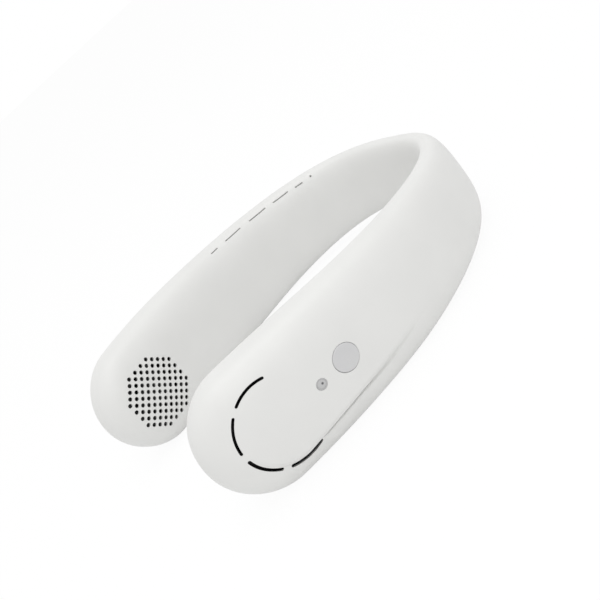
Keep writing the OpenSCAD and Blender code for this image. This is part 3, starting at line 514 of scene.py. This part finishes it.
def grille_hole(x, y):
    """Turns a round bar with three rings into a hole whose chamfered rim follows the face, wider
    behind the lip."""
    def reshape(co, level):
        r = HOLE_D / 2 + np.choose(level, [HOLE_RELIEF, HOLE_RELIEF, 0, 0, 3 * HOLE_CHAMFER])
        px, py = x + co[:, 0] * r, y + co[:, 1] * r
        under = np.choose(level, [2.5 * WALL, HOLE_LIP + LIP_STEP, HOLE_LIP, HOLE_CHAMFER,
                                  -2 * HOLE_CHAMFER])
        return np.stack([px, py, over_pod(px, py, inner_face) + under], -1)
    return reshape


cutters = []
last = len(GRILLE_ROWS) - 1
c, w = math.cos(GRILLE_TURN), math.sin(GRILLE_TURN)
for j, count in enumerate(GRILLE_ROWS):
    for i in range(count):
        x, y = (i - (count - 1) / 2) * HOLE_PITCH, (j - last / 2) * HOLE_PITCH
        cutters.append(bar(grille_hole(x * c - y * w - GRILLE_SHIFT, x * w + y * c - GRILLE_DROP),
                           pod, HOLE_SIDES, 3))
for first, end in OUTLETS + ((PINHOLE, PINHOLE),):
    s = (first + end) / 2 * ARC
    length = (end - first) * ARC
    n = half_depth(s) * OUTLET_SIDE
    up = (half_height(s) - WALL) * (1 - (n / (half_depth(s) - WALL)) ** SECTION_POWER) ** (1 / SECTION_POWER)
    outlet_frame = (arm_frame(s) @ Matrix.Translation((0, up, -n))
                    @ Matrix.Rotation(-math.pi / 2 - OUTLET_TILT, 4, "X"))
    if length:
        aside = Matrix.Translation((0, (OUTLET_W - OUTLET_SLIT) / 2, 0))
        cutters.append(bar(stadium(length - OUTLET_TRIM, OUTLET_SLIT, *OUTLET_CUT), outlet_frame @ aside, 32))
    else:
        cutters.append(bar(stadium(PINHOLE_D, PINHOLE_D, *OUTLET_CUT), outlet_frame, 24))
cut(inner_skin, cutters, True)
BOSS_REACH, BOSS_TOP, BOSS_BORE = 22.4, -4.9, 3.7
BOSS_TURNS, BOSS_ROOT = (135, 225, 315), 0.15
bosses = []
for a in (math.radians(turn) for turn in BOSS_TURNS):
    x, y = BOSS_REACH * math.cos(a), BOSS_REACH * math.sin(a)
    foot = -float(face_height(0, math.hypot(x, y) if x < 0 else abs(y), WALL)) - BOSS_ROOT * WALL
    bosses.append(bored(POST_R, foot, BOSS_TOP, BOSS_BORE, pod @ Matrix.Translation((x, y, 0)), True))
joined(inner_skin, bosses, True)
finish_skin(inner_skin, "inner_shell")

# Power button: a flat disc of light grey ABS that stands a hair proud of the panel in a narrow gap,
# with a flange behind the panel that keeps it in.
BUTTON_ROUND, ROUND_STEPS, BUTTON_CROWN = 0.45, 6, [(1.6, 0.02), (1.6, 0.01)]
FLANGE, FLANGE_T, FLANGE_GAP = 0.9, 0.8, 0.5


def rounding(across, up, steps):
    """Steps for grow that round a rim off over a quarter turn."""
    turns = [math.pi / 2 * k / steps for k in range(steps + 1)]
    return [(across * (math.cos(a) - math.cos(b)), up * (math.sin(b) - math.sin(a)))
            for a, b in zip(turns, turns[1:])]


button_n = float(half_depth(BUTTON_S))
button_axis = button_frame.to_3x3().col[2].normalized()
flange_top = float(outer_face(BUTTON_S, BUTTON_Y - BUTTON_D / 2 - FLANGE, WALL)) - FLANGE_GAP
button = disc(BUTTON_D / 2 + FLANGE, flange_top - FLANGE_T, flange_top, button_frame)
button.name = button.data.name = "button_disc"
face_up(button, button_axis)
tall = button_n + BUTTON_PROUD - BUTTON_ROUND - flange_top
grow(button, button_axis, [(FLANGE, 0), (0.001, tall)] + rounding(BUTTON_ROUND, BUTTON_ROUND, ROUND_STEPS)
     + BUTTON_CROWN)

button_abs = moulded_plastic("light_grey_moulded_ABS", "d0d0d0", "cdcdce", 0.36)
button.data.materials.append(button_abs)
bpy.ops.object.shade_smooth_by_angle(angle=SHARP)
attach(button, "button")
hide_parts("button_cap")

# Indicator: a small lens of hazy polycarbonate pressed into the panel beside the button, a flat rim
# with a low dome in it. The dark light source inside shows through it, a little off its centre.
LENS_T, LENS_SINK, LENS_RIM, LENS_GROOVE = 3, 0.15, 0.35, [(0.05, -0.12), (0.06, 0)]
DOME_R, DOME_HEIGHT, DOME_STEPS = 1.7, 0.42, 8
CORE_D, CORE_X, CORE_Y, CORE_OUT = 0.9, 0.45, 0.15, 0.1
lens_n = float(half_depth(LENS_S))
lens_axis = lens_frame.to_3x3().col[2].normalized()
lens = disc(LENS_D / 2, lens_n - LENS_T, lens_n - LENS_SINK, lens_frame, 64)
lens.name = lens.data.name = "lens_dome"
face_up(lens, lens_axis)
grow(lens, lens_axis, [(LENS_RIM, 0)] + LENS_GROOVE + rounding(DOME_R, DOME_HEIGHT, DOME_STEPS))

# hazy polycarbonate: smoky, glossy and a little clear, with clouds of 0.5 mm and a darker spot in it
hazy_plastic, tree = material("hazy_polycarbonate")
at = add(tree, "TexCoord").outputs["Object"]
haze = add(tree, "TexNoise", Vector=at, Scale=1 / (0.5 * MM), Detail=3.0)
rough = add(tree, "MapRange", Value=haze.outputs["Fac"], To_Min=0.06, To_Max=0.2)
core = (lens_frame @ Vector((CORE_X, CORE_Y, lens_n + CORE_OUT))) * MM
away = add(tree, "VectorMath", {"operation": "DISTANCE"}, _0=at, _1=core)
clear = add(tree, "MapRange", Value=away.outputs["Value"],
            From_Min=0.3 * CORE_D * MM, From_Max=0.8 * CORE_D * MM)
tone = add(tree, "Mix", {"data_type": "RGBA"}, _0=clear.outputs[0], _6=linear("5c5c5e"), _7=linear("cdcdcd"))
dents = add(tree, "Bump", Height=haze.outputs["Fac"], Strength=0.2, Distance=0.02 * MM)
shader = add(tree, "BsdfPrincipled", Base_Color=tone.outputs[2], Roughness=rough.outputs[0], IOR=1.58,
             Transmission_Weight=0.15, Normal=dents.outputs[0])
add(tree, "OutputMaterial", Surface=shader.outputs[0])
lens.data.materials.append(hazy_plastic)
bpy.ops.object.shade_smooth_by_angle(angle=math.radians(40))
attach(lens, "frame")
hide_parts("light_lens")

# Blowers: black ABS housings and covers with a centrifugal impeller in each, screwed to bosses in the
# inner shell with a ring of closed-cell foam squeezed between the housing and the grille.
def finish_nodes(finish, *names):
    """Gives CAD pieces of one finish their material. A name without a side stands for both sides."""
    for name in names:
        for node in [n for n in (name, name + "_left", name + "_right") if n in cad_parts]:
            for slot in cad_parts[node].material_slots:
                slot.material = finish


black_abs = moulded_plastic("black_moulded_ABS", "1d1d1f", "222224", 0.42)
finish_nodes(black_abs, "fan_base", "fan_cover", "impeller", "usb_tongue", "switch_plunger")

# closed-cell foam: matt, dark grey, with open half-cells of about 0.4 mm where it was cut, their hollows
# darkened with painted shade
foam, tree = material("closed_cell_foam")
at = add(tree, "TexCoord").outputs["Object"]
cells = add(tree, "TexVoronoi", {"feature": "DISTANCE_TO_EDGE"}, Vector=at, Scale=1 / (0.4 * MM))
hollow_and_shade = add(tree, "MapRange", Value=cells.outputs["Distance"], From_Max=0.3)
# painted shade: the cells' hollows are darker than their rims
tone = add(tree, "Mix", {"data_type": "RGBA"}, _0=hollow_and_shade.outputs[0], _6=linear("4a4a4c"), _7=linear("2f2f31"))
dents = add(tree, "Bump", {"invert": True}, Height=hollow_and_shade.outputs[0], Strength=0.8, Distance=0.15 * MM)
shader = add(tree, "BsdfPrincipled", Base_Color=tone.outputs[2], Roughness=0.92, Normal=dents.outputs[0])
add(tree, "OutputMaterial", Surface=shader.outputs[0])
finish_nodes(foam, "fan_seal", "battery_pads")

# nickel-plated steel: warm grey metal with the fine lengthwise marks of rolling and drawing
plated_steel, tree = material("nickel_plated_steel")
at = add(tree, "TexCoord").outputs["Object"]
along = add(tree, "Mapping", Vector=at, Scale=(1, 1, 0.15))
marks = add(tree, "TexNoise", Vector=along.outputs[0], Scale=1 / (0.15 * MM), Detail=4.0)
rough = add(tree, "MapRange", Value=marks.outputs["Fac"], To_Min=0.18, To_Max=0.42)
dents = add(tree, "Bump", Height=marks.outputs["Fac"], Strength=0.15, Distance=0.01 * MM)
shader = add(tree, "BsdfPrincipled", Metallic=1.0, Base_Color=linear("c9c8c4"), Roughness=rough.outputs[0],
             Normal=dents.outputs[0])
add(tree, "OutputMaterial", Surface=shader.outputs[0])
finish_nodes(plated_steel, "fan_screws", "rotor_cup", "motor_shaft", "board_screws", "usb_shell",
             "switch_body")

# Motors: six enamelled copper coils on a stack of electrical steel, a sintered bronze bearing in the
# housing's tube, and a ring magnet of ferrite glued into the steel cup that turns round them.

# electrical steel: 0.5 mm sheets, so fine dark lines run round the stack
laminations, tree = material("laminated_electrical_steel")
at = add(tree, "TexCoord").outputs["Object"]
height = add(tree, "SeparateXYZ", Vector=at)
sheet = add(tree, "Math", {"operation": "PINGPONG"}, _0=height.outputs["Z"], _1=0.25 * MM)
joint = add(tree, "MapRange", Value=sheet.outputs[0], From_Max=0.06 * MM)
scale = add(tree, "TexNoise", Vector=at, Scale=1 / (0.8 * MM), Detail=3.0)
tone = add(tree, "Mix", {"data_type": "RGBA"}, _0=joint.outputs[0], _6=linear("2b2c2f"), _7=linear("7d8086"))
rough = add(tree, "MapRange", Value=scale.outputs["Fac"], To_Min=0.35, To_Max=0.6)
dents = add(tree, "Bump", Height=joint.outputs[0], Strength=0.5, Distance=0.03 * MM)
shader = add(tree, "BsdfPrincipled", Metallic=1.0, Base_Color=tone.outputs[2], Roughness=rough.outputs[0],
             Normal=dents.outputs[0])
add(tree, "OutputMaterial", Surface=shader.outputs[0])
finish_nodes(laminations, "stator_core")

# ferrite: a dull charcoal ceramic with a fine ground grain
ferrite, tree = material("sintered_ferrite")
at = add(tree, "TexCoord").outputs["Object"]
grain = add(tree, "TexNoise", Vector=at, Scale=1 / (0.12 * MM), Detail=4.0)
tone = add(tree, "Mix", {"data_type": "RGBA"}, _0=grain.outputs["Fac"],
           _6=linear("29292b"), _7=linear("3a3a3d"))
dents = add(tree, "Bump", Height=grain.outputs["Fac"], Strength=0.4, Distance=0.02 * MM)
shader = add(tree, "BsdfPrincipled", Base_Color=tone.outputs[2], Roughness=0.62, Normal=dents.outputs[0])
add(tree, "OutputMaterial", Surface=shader.outputs[0])
finish_nodes(ferrite, "magnet_ring")

# sintered bronze: brown metal full of pores that hold oil, each pore darkened with painted shade
bronze, tree = material("sintered_bronze")
at = add(tree, "TexCoord").outputs["Object"]
pores = add(tree, "TexVoronoi", Vector=at, Scale=1 / (0.1 * MM))
# painted shade: darker in each pore, lighter on the metal between them
tone = add(tree, "Mix", {"data_type": "RGBA"}, _0=pores.outputs["Distance"],
           _6=linear("6e5230"), _7=linear("b08d57"))
dents = add(tree, "Bump", Height=pores.outputs["Distance"], Strength=0.5, Distance=0.02 * MM)
shader = add(tree, "BsdfPrincipled", Metallic=1.0, Base_Color=tone.outputs[2], Roughness=0.45,
             Normal=dents.outputs[0])
add(tree, "OutputMaterial", Surface=shader.outputs[0])
finish_nodes(bronze, "sleeve_bearing")

# enamelled copper: turns of 0.25 mm wire side by side along each tooth, so rings about the shaft, with
# painted shade dark in the grooves between the turns
pod_centre = Vector(pod.translation) * MM
WIRE_D = 0.25
windings, tree = material("enamelled_copper_wire")
at = add(tree, "TexCoord").outputs["Object"]
apart = add(tree, "SeparateXYZ", Vector=at)
side = add(tree, "Math", {"operation": "ABSOLUTE"}, _0=apart.outputs["X"])
folded = add(tree, "CombineXYZ", X=side.outputs[0], Y=apart.outputs["Y"], Z=apart.outputs["Z"])
from_axis = add(tree, "VectorMath", {"operation": "SUBTRACT"}, _0=folded.outputs[0], _1=pod_centre)
outwards = add(tree, "VectorMath", {"operation": "DOT_PRODUCT"}, _0=from_axis.outputs[0],
               _1=pod.to_3x3().col[2].normalized())
reach = add(tree, "VectorMath", {"operation": "LENGTH"}, _0=from_axis.outputs[0])
square = add(tree, "Math", {"operation": "MULTIPLY"}, _0=reach.outputs["Value"],
             _1=reach.outputs["Value"])
lift = add(tree, "Math", {"operation": "MULTIPLY"}, _0=outwards.outputs["Value"],
           _1=outwards.outputs["Value"])
radius = add(tree, "Math", {"operation": "SUBTRACT"}, _0=square.outputs[0], _1=lift.outputs[0])
radius = add(tree, "Math", {"operation": "SQRT"}, _0=radius.outputs[0])
turns = add(tree, "Math", {"operation": "PINGPONG"}, _0=radius.outputs[0], _1=WIRE_D / 2 * MM)
wire_crest_and_shade = add(tree, "MapRange", Value=turns.outputs[0], From_Max=WIRE_D / 2 * MM)
# painted shade: dark brown in the grooves between the turns, copper on their crests
tone = add(tree, "Mix", {"data_type": "RGBA"}, _0=wire_crest_and_shade.outputs[0],
           _6=linear("5c2410"), _7=linear("c4673a"))
dents = add(tree, "Bump", Height=wire_crest_and_shade.outputs[0], Strength=0.8, Distance=0.08 * MM)
shader = add(tree, "BsdfPrincipled", Metallic=1.0, Base_Color=tone.outputs[2], Roughness=0.3,
             Coat_Weight=0.6, Normal=dents.outputs[0])
add(tree, "OutputMaterial", Surface=shader.outputs[0])
finish_nodes(windings, "stator_coils")

# Boards: glass-epoxy under green solder mask, with copper tracks that show as paler lines; the main
# one stands on two posts behind the button and carries black chips, the switch and the indicator.
solder_mask, tree = material("green_solder_mask")
at = add(tree, "TexCoord").outputs["Object"]
squares = add(tree, "TexVoronoi", {"feature": "F1", "distance": "CHEBYCHEV"}, Vector=at,
              Scale=1 / (1.8 * MM))
near = add(tree, "MapRange", Value=squares.outputs["Distance"], From_Min=0.36, From_Max=0.4)
weave = add(tree, "TexNoise", Vector=at, Scale=1 / (0.3 * MM), Detail=2.0)
tone = add(tree, "Mix", {"data_type": "RGBA"}, _0=near.outputs[0], _6=linear("14512f"), _7=linear("22763f"))
rough = add(tree, "MapRange", Value=weave.outputs["Fac"], To_Min=0.22, To_Max=0.38)
dents = add(tree, "Bump", Height=near.outputs[0], Strength=0.4, Distance=0.035 * MM)
shader = add(tree, "BsdfPrincipled", Base_Color=tone.outputs[2], Roughness=rough.outputs[0], IOR=1.52,
             Normal=dents.outputs[0])
add(tree, "OutputMaterial", Surface=shader.outputs[0])
finish_nodes(solder_mask, "main_board", "motor_board")
finish_nodes(moulded_plastic("black_epoxy_moulding", "161618", "1e1e20", 0.55, 0.2), "board_chips")
finish_nodes(moulded_plastic("white_moulded_ABS", "e8e8e4", "e2e2dd", 0.4), "air_guide", "indicator_led")

# Cells: lithium pouches in aluminium laminate, standing on edge behind each pod, held by foam pads.
# The foil is bright grey with soft creases about 3 mm apart.
pouch_foil, tree = material("aluminium_laminate_foil")
at = add(tree, "TexCoord").outputs["Object"]
creases = add(tree, "TexNoise", {"noise_type": "RIDGED_MULTIFRACTAL"}, Vector=at,
              Scale=1 / (9 * MM), Detail=3.0)
fine = add(tree, "TexNoise", Vector=at, Scale=1 / (0.5 * MM), Detail=3.0)
rough = add(tree, "MapRange", Value=fine.outputs["Fac"], To_Min=0.28, To_Max=0.46)
dents = add(tree, "Bump", Height=creases.outputs["Fac"], Strength=0.3, Distance=0.15 * MM)
shader = add(tree, "BsdfPrincipled", Metallic=1.0, Base_Color=linear("bfc3c6"), Roughness=rough.outputs[0],
             Normal=dents.outputs[0])
add(tree, "OutputMaterial", Surface=shader.outputs[0])
finish_nodes(pouch_foil, "battery")

# Wires: tinned copper strands in soft PVC insulation. Three run from the board's socket past the left
# cell and round the back, red and black to the right cell and blue to the right blower, and a short
# lead joins the left blower to the board.
for colour, code, other_code, names in (("red", "a51f1b", "8f1a17", ["wire_red"]),
                                        ("black", "161617", "1f1f21", ["wire_black"]),
                                        ("blue", "2b55a2", "244a90", ["wire_blue", "motor_lead"])):
    finish_nodes(moulded_plastic(colour + "_PVC_insulation", code, other_code, 0.35, 0.6), *names)

# Studio: a white floor and white surroundings, with a key light beside the left pod and a soft one
# above. The camera sees floor and surroundings as plain white, and the floor keeps the fan's shadow.
def shown_white(tree):
    """Where the camera, metal or glass sees a surface, which then shows plain white."""
    path = add(tree, "LightPath")
    seen = add(tree, "Math", {"operation": "MAXIMUM"}, _0=path.outputs["Is Camera Ray"],
               _1=path.outputs["Is Glossy Ray"])
    seen = add(tree, "Math", {"operation": "MAXIMUM"}, _0=seen.outputs[0],
               _1=path.outputs["Is Transmission Ray"])
    return seen.outputs[0]


FLOOR_SIZE, FLOOR_SHADOW, AROUND = 6, 0.07, 0.79
white_ground, tree = material("white_studio_floor")
lit = add(tree, "BsdfDiffuse", Color=linear("f3f3f3"))
plain = add(tree, "Emission", Color=(1, 1, 1, 1), Strength=1.0)
paper = add(tree, "BsdfDiffuse", Color=(1, 1, 1, 1))
shadowed = add(tree, "MixShader", _0=1 - FLOOR_SHADOW, _1=paper.outputs[0], _2=plain.outputs[0])
shown = add(tree, "MixShader", _0=shown_white(tree), _1=lit.outputs[0], _2=shadowed.outputs[0])
add(tree, "OutputMaterial", Surface=shown.outputs[0])
bpy.ops.object.select_all(action="DESELECT")
bpy.ops.mesh.primitive_plane_add(size=FLOOR_SIZE)
floor = bpy.context.object
floor.name = floor.data.name = "studio_floor"
floor.data.materials.append(white_ground)

scene = bpy.context.scene
scene.world = scene.world or bpy.data.worlds.new("studio")
scene.world.use_nodes = True
tree = scene.world.node_tree
tree.nodes.clear()
around = add(tree, "Background", Color=linear("fafafa"), Strength=AROUND)
white = add(tree, "Background", Color=(1, 1, 1, 1), Strength=1.0)
shown = add(tree, "MixShader", _0=shown_white(tree), _1=around.outputs[0], _2=white.outputs[0])
add(tree, "OutputWorld", Surface=shown.outputs[0])

# Lamps by name, place, size in metres and power in watts, all turned to one point in the fan
LAMPS = (("key", (0.75, -0.2, 0.7), 0.5, 1.2), ("top", (0.1, 0, 1), 0.8, 2.6))
LAMP_AIM = Vector((0, 0, 0.03))
for name, place_at, size, power in LAMPS:
    bpy.ops.object.light_add(type="AREA", location=place_at)
    lamp = bpy.context.object
    lamp.name = lamp.data.name = name
    lamp.data.size, lamp.data.energy = size, power
    lamp.rotation_euler = (LAMP_AIM - Vector(place_at)).to_track_quat("-Z", "Y").to_euler()

# Camera: beside the left pod and a little above it, with a lens of about 58 mm on a 36 mm sensor,
# rolled over so that the band rises to the upper left
CAMERA_AT, CAMERA_TURN = (0.38887, -0.150226, 0.191634), (61.408, 37.8682, 50.4041)
CAMERA_LENS, SENSOR, NEAREST = 57.64014, 36, 0.01
bpy.ops.object.camera_add(location=CAMERA_AT, rotation=[math.radians(a) for a in CAMERA_TURN])
camera = bpy.context.object
camera.data.lens, camera.data.sensor_width, camera.data.clip_start = CAMERA_LENS, SENSOR, NEAREST
scene.camera = camera
scene.view_settings.view_transform = "Standard"
